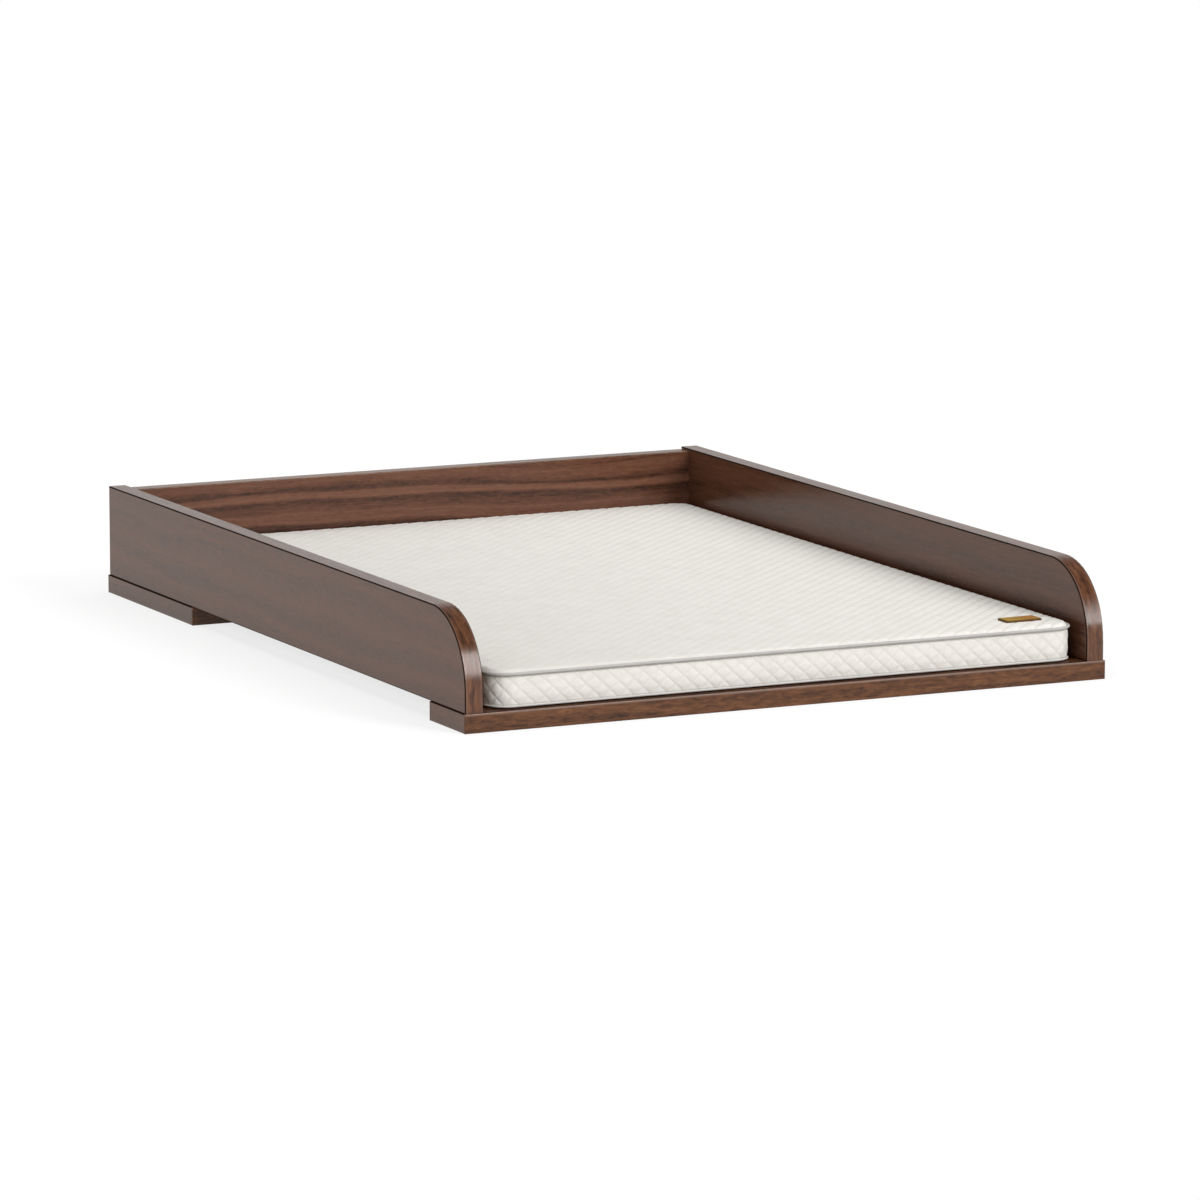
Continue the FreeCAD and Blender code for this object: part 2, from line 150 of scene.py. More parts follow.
class Graph:
    """The node tree of a new material, or a tree that is handed in, built with short calls. A value may
    be a number, a tuple or a socket."""

    def __init__(self, name, tree=None):
        if tree is None:
            self.material = bpy.data.materials.new(name)
            self.material.use_nodes = True
            tree = self.material.node_tree
        self.tree = tree
        self.tree.nodes.clear()

    def node(self, kind, inputs, **settings):
        made = self.tree.nodes.new(kind)
        for setting, value in settings.items():
            setattr(made, setting, value)
        for key, value in inputs.items():
            if isinstance(value, bpy.types.NodeSocket):
                self.tree.links.new(value, made.inputs[key])
            else:
                made.inputs[key].default_value = value
        return made

    def output(self, kind, inputs, **settings):
        return self.node(kind, inputs, **settings).outputs[0]

    def place(self):
        return self.node("ShaderNodeTexCoord", {}).outputs["Object"]

    def split(self, vector):
        return self.node("ShaderNodeSeparateXYZ", {0: vector}).outputs

    def join(self, x, y, z):
        return self.output("ShaderNodeCombineXYZ", {0: x, 1: y, 2: z})

    def math(self, operation, a, b=0.0):
        return self.output("ShaderNodeMath", {0: a, 1: b}, operation=operation)

    def total(self, *values):
        result = values[0]
        for value in values[1:]:
            result = self.math("ADD", result, value)
        return result

    def product(self, a, b):
        return self.math("MULTIPLY", a, b)

    def scaled(self, vector, scale):
        return self.output("ShaderNodeVectorMath", {0: vector, 1: scale}, operation="MULTIPLY")

    def length(self, vector):
        return self.node("ShaderNodeVectorMath", {0: vector}, operation="LENGTH").outputs["Value"]

    def noise(self, vector, detail=2.0, roughness=0.5, distortion=0.0):
        inputs = {"Vector": vector, "Scale": 1.0, "Detail": detail, "Roughness": roughness,
                  "Distortion": distortion}
        return self.node("ShaderNodeTexNoise", inputs).outputs["Fac"]

    def cloud(self, vector, rate, detail=2.0, roughness=0.5):
        return self.noise(self.scaled(vector, (rate, rate, rate)), detail, roughness)

    def noise_line(self, value, detail=2.0, roughness=0.5):
        inputs = {"W": value, "Scale": 1.0, "Detail": detail, "Roughness": roughness}
        return self.node("ShaderNodeTexNoise", inputs, noise_dimensions="1D").outputs["Fac"]

    def spread(self, value, low, high, new_low=0.0, new_high=1.0):
        inputs = {"Value": value, "From Min": low, "From Max": high,
                  "To Min": new_low, "To Max": new_high}
        return self.output("ShaderNodeMapRange", inputs)

    def smooth(self, value, low, high):
        inputs = {"Value": value, "From Min": low, "From Max": high}
        return self.output("ShaderNodeMapRange", inputs, interpolation_type="SMOOTHSTEP")

    def ramp(self, value, stops):
        made = self.node("ShaderNodeValToRGB", {0: value})
        elements = made.color_ramp.elements
        while len(elements) < len(stops):
            elements.new(0.5)
        for element, (position, colour) in zip(elements, stops):
            element.position = position
            element.color = (*colour, 1.0)
        return made.outputs[0]

    def mix(self, share, a, b, blend="MIX"):
        made = self.node("ShaderNodeMix", {0: share}, data_type="RGBA", blend_type=blend)
        for socket, value in ((made.inputs[6], a), (made.inputs[7], b)):
            if isinstance(value, bpy.types.NodeSocket):
                self.tree.links.new(value, socket)
            else:
                socket.default_value = (*value, 1.0)
        return made.outputs[2]

    def attribute(self, name):
        return self.node("ShaderNodeAttribute", {}, attribute_name=name).outputs["Fac"]

    def bump(self, height, strength, distance):
        inputs = {"Height": height, "Strength": strength, "Distance": distance}
        return self.output("ShaderNodeBump", inputs)

    def finish(self, colour, roughness, normal=None, **shader_values):
        inputs = {"Base Color": colour, "Roughness": roughness}
        if normal is not None:
            inputs["Normal"] = normal
        for key, value in shader_values.items():
            inputs[key.replace("_", " ")] = value
        shader = self.output("ShaderNodeBsdfPrincipled", inputs)
        self.node("ShaderNodeOutputMaterial", {"Surface": shader})
        return self.material


# Wood: dark, middle and light colours, and rates per metre along, across and through the grain

noise_span = (0.3, 0.7)
walnut_set = ((0.038, 0.0140, 0.0060), (0.125, 0.0470, 0.0170), (0.210, 0.0860, 0.0340))
cool_walnut = ((0.040, 0.0150, 0.0080), (0.135, 0.0520, 0.0255), (0.220, 0.0930, 0.0470))
pink_walnut = ((0.040, 0.0180, 0.0115), (0.132, 0.0530, 0.0300), (0.205, 0.0900, 0.0540))
strip_walnut = ((0.038, 0.0138, 0.0060), (0.122, 0.0445, 0.0178), (0.206, 0.0820, 0.0345))
# Colour of the dark lines: glue joints, and painted shadow where one part lies on or under another.
joint_and_shadow_dark = (0.018, 0.0075, 0.0042)
# Colour of the painted highlights along arrises.
painted_highlight = (0.24, 0.155, 0.12)
tone_stops = (0.24, 0.50, 0.80)
drift_rate = (3.0, 11.0, 11.0)
drift_reach = 60 * MM
waver_rate = (9.0, 60.0, 60.0)
waver_reach = 12 * MM
fibre_rate = (24.0, 520.0, 520.0)
pore_rate = (120.0, 2100.0, 2100.0)
pore_range = (0.60, 0.74)
seed_steps = (1.7, 0.31, 9.1)
lacquer_roughness = (0.16, 0.28)
lacquer_bump = (0.12, 0.05 * MM)
lacquer_ior = 1.38
line_gloss = (0.5, 0.05)
line_roughness = 0.8


def walnut_patterns(graph, point, seed, rate, flecks, sway):
    """The wood's bands, which swerve more often with more sway, its curl and its fibres."""
    drift = graph.noise(graph.scaled(point, (drift_rate[0] * sway, *drift_rate[1:])), 2.0)
    waver = graph.noise(graph.scaled(point, (waver_rate[0] * sway, *waver_rate[1:])), 2.0)
    across = graph.split(point)[1]
    ring = graph.total(across, graph.product(drift, drift_reach), graph.product(waver, waver_reach))
    bands = graph.noise_line(graph.total(graph.product(ring, rate), seed * seed_steps[2]), 3.0, 0.6)
    curl = graph.noise(graph.scaled(point, (flecks[0], flecks[1], flecks[1])), 3.0, 0.6, 0.8)
    fibres = graph.noise(graph.scaled(point, fibre_rate), 3.0, 0.6)
    return bands, curl, fibres


def walnut(name, grain, seed, colours=walnut_set, tone=0.5, streak=1.0, rate=75.0, figure=0.25,
           flecks=(38.0, 150.0), sway=1.0, fibre=0.4, lines=None, highlight=None, lacquer=lacquer_ior):
    """Lacquered walnut; grain(graph, place) gives a point's lengths along, across and through. Streak,
    figure and fibre are weights of the patterns, and flecks are the figure's rates along and across."""
    graph = Graph(name)
    along, across, through = grain(graph, graph.place())
    along = graph.total(along, seed * seed_steps[0])
    point = graph.join(along, across, graph.total(through, seed * seed_steps[1]))
    patterns = walnut_patterns(graph, point, seed, rate, flecks, sway)
    for pattern, weight in zip(patterns, (streak, figure, fibre)):
        tone = graph.total(tone, graph.product(graph.math("SUBTRACT", pattern, 0.5), weight))
    colour = graph.ramp(tone, list(zip(tone_stops, colours)))
    pores = graph.smooth(graph.noise(graph.scaled(point, pore_rate), 1.0), *pore_range)
    colour = graph.mix(graph.product(pores, fibre), colour, colours[0])
    fibres = patterns[2]
    # Painted highlight: a lighter line along an arris.
    if highlight:
        colour = graph.mix(highlight(graph, graph.place()), colour, painted_highlight)
    roughness = graph.spread(fibres, *noise_span, *lacquer_roughness)
    normal = graph.bump(fibres, *lacquer_bump)
    if lines is None:
        return graph.finish(colour, roughness, normal, IOR=lacquer)
    # Dark lines: glue joints, and painted shadow where a part lies on or under another.
    line = lines(graph, graph.place())
    colour = graph.mix(line, colour, joint_and_shadow_dark)
    gloss = graph.spread(line, 0.0, 1.0, *line_gloss)
    roughness = graph.math("MAXIMUM", roughness, graph.product(line, line_roughness))
    return graph.finish(colour, roughness, normal, IOR=lacquer, Specular_IOR_Level=gloss)


def grain_along_x(graph, place):
    x, y, z = graph.split(place)
    return x, z, y


def grain_along_x_flat(graph, place):
    x, y, z = graph.split(place)
    return x, y, z


def grain_along_y(graph, place):
    x, y, z = graph.split(place)
    return y, z, x


def grain_along_z(graph, place):
    x, y, z = graph.split(place)
    return z, x, y


rail_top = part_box("front_base_rail")[1].z
panel_low, panel_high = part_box("left_side_panel")
band_low, band_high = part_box("left_side_edge_band")
# Strengths of the dark lines, which are glue joints and painted shadow.
line_cover = 0.95
rail_shadow_cover = 0.9
side_highlight_cover = 0.28
rail_highlight_cover = 0.65
front_corner_radius = 60 * MM
corner_centre_y = band_low.y + front_corner_radius
corner_centre_z = band_high.z - front_corner_radius


def grain_round_corner(graph, place):
    """Length along a side panel's edge strip: back to front over the top, round the corner and down."""
    x, y, z = graph.split(place)
    behind = graph.math("SUBTRACT", y, corner_centre_y)
    above = graph.math("SUBTRACT", z, corner_centre_z)
    top_run = graph.math("MAXIMUM", behind, 0.0)
    front_run = graph.math("MAXIMUM", graph.product(above, -1.0), 0.0)
    ahead = graph.math("MAXIMUM", graph.product(behind, -1.0), 0.0)
    angle = graph.math("ARCTAN2", ahead, graph.math("MAXIMUM", above, 0.0))
    arc_run = graph.product(angle, front_corner_radius)
    return graph.total(graph.math("SUBTRACT", arc_run, top_run), front_run), x, 0.0


def from_strip_edge(graph, place):
    """How far a point lies outside the long edges of a side panel's strip, below 0 within it."""
    x, y, z = graph.split(place)
    middle = (abs(panel_low.x) + abs(panel_high.x)) / 2
    from_middle = graph.math("ABSOLUTE", graph.math("SUBTRACT", graph.math("ABSOLUTE", x), middle))
    return graph.math("SUBTRACT", from_middle, abs(panel_high.x - panel_low.x) / 2)


def side_band_lines(graph, place):
    """The dark line on each long edge of a side panel's strip."""
    return graph.product(graph.smooth(from_strip_edge(graph, place), -0.9 * MM, -0.5 * MM), line_cover)


def side_band_highlight(graph, place):
    """The lighter line beside it: a painted highlight along the arris."""
    highlight = graph.smooth(from_strip_edge(graph, place), -2.2 * MM, -1.3 * MM)
    return graph.product(highlight, side_highlight_cover)


def panel_lines(graph, place):
    """The dark line on a side panel's faces beside its edge strip, and painted shadow along its foot
    above the rails.
    """
    x, y, z = graph.split(place)
    ahead = graph.math("MAXIMUM", graph.math("SUBTRACT", corner_centre_y, y), 0.0)
    above = graph.math("MAXIMUM", graph.math("SUBTRACT", z, corner_centre_z), 0.0)
    depth = graph.math("SUBTRACT", front_corner_radius, graph.length(graph.join(ahead, above, 0.0)))
    strip_line = graph.smooth(depth, 1.2 * MM, 1.0 * MM)
    # Painted shadow along the panel's foot, where it sits on the rails.
    foot_shadow = graph.smooth(z, panel_low.z + 1.0 * MM, panel_low.z + 0.5 * MM)
    return graph.product(graph.math("MAXIMUM", strip_line, foot_shadow), line_cover)


def rail_end_shadow_lines(graph, place):
    """A dark line on the rails' end strips under the side panels: painted shadow where the panels sit."""
    x, y, z = graph.split(place)
    return graph.product(graph.smooth(z, rail_top - 0.9 * MM, rail_top - 0.4 * MM), line_cover)


def rail_arris_highlight(graph, place):
    """The lighter line along the top of the front rail's front strip: a painted highlight on its arris.
    """
    x, y, z = graph.split(place)
    return graph.product(graph.smooth(z, rail_top - 1.9 * MM, rail_top - 1.1 * MM), rail_highlight_cover)


def rail_shadow_lines(node):
    """A dark line along the front of a rail's board, beside its front strip: painted shadow of the
    mattress on it.
    """
    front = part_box(node)[0].y

    def lines(graph, place):
        x, y, z = graph.split(place)
        # Painted shadow of the mattress on the rail.
        return graph.product(graph.smooth(y, front + 3.0 * MM, front + 2.0 * MM), rail_shadow_cover)
    return lines


# Metal and dowels

steel_greys = ((0.42, 0.42, 0.43), (0.58, 0.58, 0.59))
steel_roughness = (0.26, 0.40)
steel_rate = 700.0
zinc_greys = ((0.40, 0.40, 0.39), (0.55, 0.55, 0.54))
zinc_roughness = (0.36, 0.50)
zinc_rate = 400.0
beech_rate = (60.0, 900.0, 900.0)
beech_colours = ((0.42, 0.25, 0.13), (0.60, 0.40, 0.23))
beech_roughness = (0.5, 0.65)


def metal(name, greys, roughness, rate):
    graph = Graph(name)
    cloud = graph.cloud(graph.place(), rate, 3.0)
    colour = graph.ramp(cloud, list(zip((0.35, 0.65), greys)))
    rough = graph.spread(cloud, *noise_span, *roughness)
    return graph.finish(colour, rough, graph.bump(cloud, 0.1, 0.05 * MM), Metallic=1.0)


def beech():
    graph = Graph("beech_dowel")
    fibre = graph.noise(graph.scaled(graph.place(), beech_rate), 3.0)
    colour = graph.ramp(fibre, list(zip(noise_span, beech_colours)))
    rough = graph.spread(fibre, *noise_span, *beech_roughness)
    return graph.finish(colour, rough, graph.bump(fibre, 0.2, 0.1 * MM))


# Cloth and leather

cloth_white = (0.80, 0.775, 0.725)
cloth_shade = (0.70, 0.675, 0.625)
# Colour of the painted shade in the stitch lines.
cloth_groove_shade = (0.42, 0.40, 0.36)
base_white = (0.76, 0.735, 0.69)
base_shade = (0.66, 0.635, 0.59)
# Both cords are one cloth; the top cord's darker grey is painted shade.
shaded_piping_grey = (0.50, 0.49, 0.47)
piping_shade = (0.42, 0.41, 0.39)
low_piping_grey = (0.68, 0.66, 0.63)
low_piping_shade = (0.60, 0.58, 0.55)
# Painted light on the mattress top: its colour's factors at the left and at the right, and where they are
# reached.
top_painted_light = (0.96, 1.105)
top_painted_light_reach = (-150 * MM, 220 * MM)
quilt_thread = 1.1 * MM
base_thread = 0.8 * MM
piping_thread = 0.6 * MM
cloth_roughness = 0.85
piping_roughness = 0.8
cloth_tones = (0.25, 0.55)
cloud_rate = 55.0
fluff_rate = 1800.0
weave_share = 0.14
fluff_share = 0.5
cloud_share = 0.5
pebble_rate = 1500.0
stain_rate = 120.0
leather_golden = ((0.325, 0.190, 0.034), (0.510, 0.315, 0.058))
leather_brown = ((0.305, 0.138, 0.030), (0.495, 0.238, 0.052))
leather_edge = (0.055, 0.022, 0.007)
leather_roughness = (0.50, 0.66)
leather_turn = 3 * MM


def knit(graph, place, size):
    """A fine woven relief: two crossed ribs of the given size in metres."""
    x, y, z = graph.split(place)
    rate = 2 * math.pi / size
    runs = (graph.total(x, y, z), graph.math("SUBTRACT", x, graph.math("SUBTRACT", y, z)))
    first, second = (graph.math("SINE", graph.product(run, rate)) for run in runs)
    return graph.product(first, second)


def fabric(name, light, shade, thread, roughness=cloth_roughness, quilted=False, lean=None):
    """Woven cloth; a lean gives its lightness to the left and to the right, as two factors: painted
    light.
    """
    graph = Graph(name)
    place = graph.place()
    weave = knit(graph, place, thread)
    cloud = graph.cloud(place, cloud_rate, 3.0, 0.6)
    fluff = graph.cloud(place, fluff_rate, 2.0, 0.6)
    tone = graph.total(graph.product(weave, weave_share), graph.product(fluff, fluff_share),
                       graph.product(cloud, cloud_share))
    colour = graph.ramp(tone, list(zip(cloth_tones, (shade, light))))
    # Painted shade in the stitch lines, as much as each point's groove value says.
    if quilted:
        colour = graph.mix(graph.attribute("groove"), colour, cloth_groove_shade)
    # Painted light: the cloth lighter towards the right.
    if lean:
        painted_light_factor = graph.spread(graph.split(place)[0], *top_painted_light_reach, *lean)
        colour = graph.mix(1.0, colour, painted_light_factor, "MULTIPLY")
    relief = graph.total(graph.product(weave, 0.5), fluff)
    rough = graph.spread(fluff, *noise_span, roughness - 0.06, roughness + 0.06)
    return graph.finish(colour, rough, graph.bump(relief, 0.25, 0.08 * MM), Sheen_Weight=0.15)


def from_label_edge(graph, place):
    """How far a point lies outside the label's edges, below 0 within them."""
    outs = []
    for value, middle, half in zip(graph.split(place), label_middle, label_half):
        from_middle = graph.math("ABSOLUTE", graph.math("SUBTRACT", value, middle))
        outs.append(graph.math("SUBTRACT", from_middle, half))
    return graph.math("MAXIMUM", *outs)


def leather():
    """Leather that turns from golden to brown across the label and is dark at its edges."""
    graph = Graph("label_leather")
    place = graph.place()
    pebbles = graph.cloud(place, pebble_rate, 3.0, 0.65)
    stains = graph.cloud(place, stain_rate)
    tone = graph.total(graph.product(stains, 0.6), graph.product(pebbles, 0.4))
    golden = graph.ramp(tone, list(zip(noise_span, leather_golden)))
    brown = graph.ramp(tone, list(zip(noise_span, leather_brown)))
    x = graph.split(place)[0]
    turn = graph.smooth(x, label_middle.x - leather_turn, label_middle.x + leather_turn)
    colour = graph.mix(turn, golden, brown)
    edge = graph.smooth(from_label_edge(graph, place), -0.8 * MM, -0.3 * MM)
    colour = graph.mix(graph.product(edge, 0.8), colour, leather_edge)
    rough = graph.spread(pebbles, *noise_span, *leather_roughness)
    return graph.finish(colour, rough, graph.bump(pebbles, 0.3, 0.1 * MM), Specular_IOR_Level=0.2)


# Mesh helpers

def mesh_piece(name, points, faces):
    mesh = bpy.data.meshes.new(name)
    mesh.from_pydata(points, [], faces)
    mesh.update()
    mesh.polygons.foreach_set("use_smooth", [True] * len(mesh.polygons))
    piece = bpy.data.objects.new(name, mesh)
    bpy.context.scene.collection.objects.link(piece)
    return piece


def ring_faces(ring_count, ring_size, closed):
    """Quads between neighbouring rings, and from the last to the first where the profile is closed."""
    faces = []
    for ring in range(ring_count if closed else ring_count - 1):
        below = ring * ring_size
        above = (ring + 1) % ring_count * ring_size
        for step in range(ring_size):
            after = (step + 1) % ring_size
            faces.append((below + step, below + after, above + after, above + step))
    return faces


# Mattress outline

def outline_spans():
    """The mattress's sides and corners in turn, from the front side on, each with its length."""
    spans = []
    lengths = (2 * (half_width - corner_radius), 2 * (half_length - corner_radius))
    reaches = (half_length, half_width)
    middle = Vector((mattress_centre.x, mattress_centre.y))
    for side in range(4):
        turn = math.radians(90 * side - 90)
        outward = Vector((math.cos(turn), math.sin(turn)))
        along = Vector((-outward.y, outward.x))
        length = lengths[side % 2]
        start = middle + outward * reaches[side % 2] - along * length / 2
        spans.append((length, start, along, outward, None))
        corner = start + along * length - outward * corner_radius
        spans.append((corner_radius * math.pi / 2, corner, along, outward, turn))
    return spans


spans = outline_spans()
outline_length = sum(span[0] for span in spans)


def outline_point(distance):
    """The outline's point at a distance along it, and its outward direction there."""
    for length, start, along, outward, turn in spans:
        if distance <= length:
            break
        distance -= length
    if turn is None:
        share = distance / length
        pulled = draw_in * 4 * share * (1 - share)
        return start + along * distance - outward * pulled, outward
    angle = turn + distance / corner_radius
    outward = Vector((math.cos(angle), math.sin(angle)))
    return start + outward * corner_radius, outward


def outline_samples(count):
    return [outline_point(outline_length * step / count) for step in range(count)]


# Mattress crown

def rolled(inset, span):
    """A quarter ellipse, from 0 at the edge to 1 at the span, that runs out flat."""
    share = min(max(inset / span, 0.0), 1.0)
    return math.sqrt(1 - (1 - share) ** 2)


def edge_distance(x, y):
    """How far inside the seam's outline a point of the top lies."""
    from_x = half_width - seam_inset - abs(x - mattress_centre.x)
    from_y = half_length - seam_inset - abs(y - mattress_centre.y)
    reach = corner_radius - seam_inset
    if from_x < reach and from_y < reach:
        return reach - math.hypot(reach - from_x, reach - from_y)
    return min(from_x, from_y)


def place_in(u, v, half, radius):
    """A point of a rounded rectangle for a place (u, v) in a square from -1 to 1."""
    x = u * half[0]
    y = v * half[1]
    over_x = abs(x) - (half[0] - radius)
    over_y = abs(y) - (half[1] - radius)
    if over_x > 0 and over_y > 0:
        squeeze = max(over_x, over_y) / math.hypot(over_x, over_y)
        x = math.copysign(half[0] - radius + over_x * squeeze, x)
        y = math.copysign(half[1] - radius + over_y * squeeze, y)
    return x, y


def grid_faces(across, deep):
    """Quads of a grid whose points are listed row by row."""
    wide = across + 1
    faces = []
    for row in range(deep):
        for column in range(across):
            first = row * wide + column
            faces.append((first, first + 1, first + wide + 1, first + wide))
    return faces


def grid_edge(across, deep):
    """The grid's outermost points in turn, from its first one on."""
    wide = across + 1
    loop = list(range(across))
    loop += [row * wide + across for row in range(deep)]
    loop += [deep * wide + column for column in range(across, 0, -1)]
    loop += [row * wide for row in range(deep, 0, -1)]
    return loop


def capped_grid(name, middle, half, radius, counts, top, skirt, pull=0.0):
    """A closed form over a rounded rectangle: a grid at the heights top(x, y), rings (outset, drop) below
    its edge in turn, and one face across the last ring."""
    def flat_point(u, v, outset):
        x, y = place_in(u, v, (half[0] + outset, half[1] + outset), radius + outset)
        return middle[0] + x, middle[1] + y

    def add_point(u, v, outset, drop):
        x, y = flat_point(u, v, outset)
        height = top(*flat_point(u, v, 0.0)) - drop
        points.append((x - u * pull * (1 - v * v), y - v * pull * (1 - u * u), height))

    across, deep = counts
    columns = [2 * column / across - 1 for column in range(across + 1)]
    rows = [2 * row / deep - 1 for row in range(deep + 1)]
    points = []
    for v in rows:
        for u in columns:
            add_point(u, v, 0.0, 0.0)
    faces = grid_faces(across, deep)
    edge = [(u, -1.0) for u in columns[:-1]] + [(1.0, v) for v in rows[:-1]]
    edge += [(u, 1.0) for u in columns[:0:-1]] + [(-1.0, v) for v in rows[:0:-1]]
    loop = grid_edge(across, deep)
    for outset, drop in skirt:
        below = []
        for u, v in edge:
            below.append(len(points))
            add_point(u, v, outset, drop)
        for step in range(len(loop)):
            after = (step + 1) % len(loop)
            faces.append((loop[step], below[step], below[after], loop[after]))
        loop = below
    faces.append(tuple(reversed(loop)))
    return mesh_piece(name, points, faces)


def evaluated_mesh(piece):
    return bpy.data.meshes.new_from_object(piece.evaluated_get(bpy.context.evaluated_depsgraph_get()))


def make_pad_form():
    """The flat pad in even cells, with its sides and underside in a group that is held."""
    counts = [round(2 * side / pad_voxel) for side in top_half]
    form = capped_grid("pad_form", mattress_centre, top_half, corner_radius - seam_inset, counts,
                       lambda x, y: edge_top, [(0.0, edge_top - foam_low.z)], draw_in)
    remesh = form.modifiers.new("even_cells", "REMESH")
    remesh.mode = "VOXEL"
    remesh.voxel_size = pad_voxel
    flat = evaluated_mesh(form)
    form.modifiers.clear()
    form.data = flat
    held = form.vertex_groups.new(name="held")
    for vertex in flat.vertices:
        inset = edge_distance(vertex.co.x, vertex.co.y)
        if inset < pad_voxel or vertex.co.z < edge_top - pad_voxel / 2:
            held.add([vertex.index], 1.0, "REPLACE")
    return form


def blown_up(form):
    """The form's mesh after a cloth simulation has blown it up where it isn't held."""
    cloth = form.modifiers.new("swell", "CLOTH")
    cloth.settings.use_pressure = True
    cloth.settings.uniform_pressure_force = pad_pressure
    cloth.settings.effector_weights.gravity = 0.0
    cloth.settings.vertex_group_mass = "held"
    cloth.point_cache.frame_start = 1
    cloth.point_cache.frame_end = swell_frames
    for step in range(1, swell_frames + 1):
        bpy.context.scene.frame_set(step)
    swollen = evaluated_mesh(form)
    form.modifiers.clear()
    bpy.context.scene.frame_set(1)
    return swollen


def simulated_top():
    """The swollen top as a search tree, with its lift capped."""
    form = make_pad_form()
    start = [vertex.co.copy() for vertex in form.data.vertices]
    swollen = blown_up(form)
    points = []
    for before, vertex in zip(start, swollen.vertices):
        lift = max(vertex.co.z - before.z, 0.0)
        z = edge_top + swell_rise * math.tanh(swell_gain * lift / swell_rise)
        points.append((before.x, before.y, z if before.z > edge_top - pad_voxel else before.z))
    tree = BVHTree.FromPolygons(points, [tuple(face.vertices) for face in swollen.polygons])
    bpy.data.objects.remove(form)
    bpy.data.meshes.remove(swollen)
    return tree


top_tree = simulated_top()


def crown_height(x, y):
    """The top's height without its quilting: rolled down to the seam at its rim, and with a bead along
    its long sides, where the side panels squeeze it."""
    inset = edge_distance(x, y)
    from_side = top_half[0] - abs(x - mattress_centre.x)
    bead = side_bead_rise * math.exp(-max(from_side, 0.0) / side_bead_span)
    rim = (rim_rise + bead) * rolled(inset, rim_span)
    if top_tree is None:
        return edge_top + rim + swell_rise * rolled(inset, swell_span)
    hit = top_tree.ray_cast(Vector((x, y, high_above)), Vector((0, 0, -1)))[0]
    return rim + (edge_top if hit is None else max(hit.z, edge_top))


def stitch(line):
    """How far the cloth rises beside stitch lines, from 0 on a line to 1 where its groove ends."""
    nearest = 2 * abs(line - round(line))
    return 1 - (1 - min(nearest / groove_share, 1.0)) ** 2


def puff(a, b):
    """How far a quilted diamond stands up, from 0 on its deeper stitch lines to about 1 in its middle."""
    groove = min(stitch(a), 1 - cross_depth * (1 - stitch(b)))
    phase = uneven_steps[0] * math.floor(a) + uneven_steps[1] * math.floor(b)
    uneven = math.sin(phase) * uneven_scale
    fullness = 1 + puff_spread * (2 * (uneven - math.floor(uneven)) - 1)
    dome = fullness * abs(math.sin(math.pi * a) * math.sin(math.pi * b))
    return (1 - dome_share) * groove + dome_share * dome


def top_puff_at(x, y):
    across = (x - mattress_centre.x) / top_diamond[0]
    deep = (y - mattress_centre.y) / top_diamond[1]
    return puff(across - deep + top_stitch_shift, across + deep)


def groove_shade(full, strength):
    """How dark the cloth is in a stitch line, from a point's share of a full diamond: painted shade."""
    return strength * max(1 - full / groove_shade_reach, 0.0)


def store_grooves(piece, values):
    """Keeps each point's groove shade on the mesh, for the cloth's colour."""
    layer = piece.data.attributes.new("groove", "FLOAT", "POINT")
    layer.data.foreach_set("value", values)


def label_cover(x, y):
    """1 away from the label and 0 under it, where it presses the quilting flat."""
    out_x = abs(x - label_middle.x) - label_half[0]
    out_y = abs(y - label_middle.y) - label_half[1]
    return min(max(max(out_x, out_y) / label_press, 0.0), 1.0)


def top_height(x, y):
    inset = edge_distance(x, y)
    from_side = top_half[0] - abs(x - mattress_centre.x)
    fade = min(max(min(inset / end_puff_fade, from_side / side_puff_fade), 0.0), 1.0)
    lean = 1 + top_puff_lean * (x - mattress_centre.x) / top_half[0]
    quilting = top_puff * lean * top_puff_at(x, y) * fade * label_cover(x, y)
    wave = math.sin(2 * math.pi * (x + y) / gather_pitch)
    gather = gather_rise * wave * math.exp(-abs(inset - rim_span) / rim_span)
    return crown_height(x, y) + quilting + gather


# Mattress pieces

def make_pad():
    skirt = [*pad_rings, (pad_rings[-1][0], edge_top - foam_low.z)]
    shades = []

    def noted_height(x, y):
        # Painted shade in the stitch lines, growing towards the right, where light shows the top's ridges
        # more.
        rightward = 0.5 + (x - mattress_centre.x) / (2 * top_half[0])
        shades.append(groove_shade(top_puff_at(x, y), top_groove_shade * rightward ** 2))
        return top_height(x, y)

    pad = capped_grid("mattress_quilted_pad", mattress_centre, top_half, corner_radius - seam_inset,
                      top_cells, noted_height, skirt, draw_in)
    store_grooves(pad, shades)
    return pad


def border_profile(z):
    """The border's inset at a height, and its ease, the share of the quilting's rise that it keeps."""
    share = (z - border_low) / (border_high - border_low)
    top_tuck = (1 - min((border_high - z) / border_tuck, 1.0)) ** 2
    bottom_tuck = (1 - min((z - border_low) / border_tuck, 1.0)) ** 2
    pull = border_pull_top * top_tuck + border_pull_bottom * bottom_tuck
    inset = border_inset + pull - border_bulge * math.sin(math.pi * share)
    return inset, 1 - max(top_tuck, bottom_tuck)


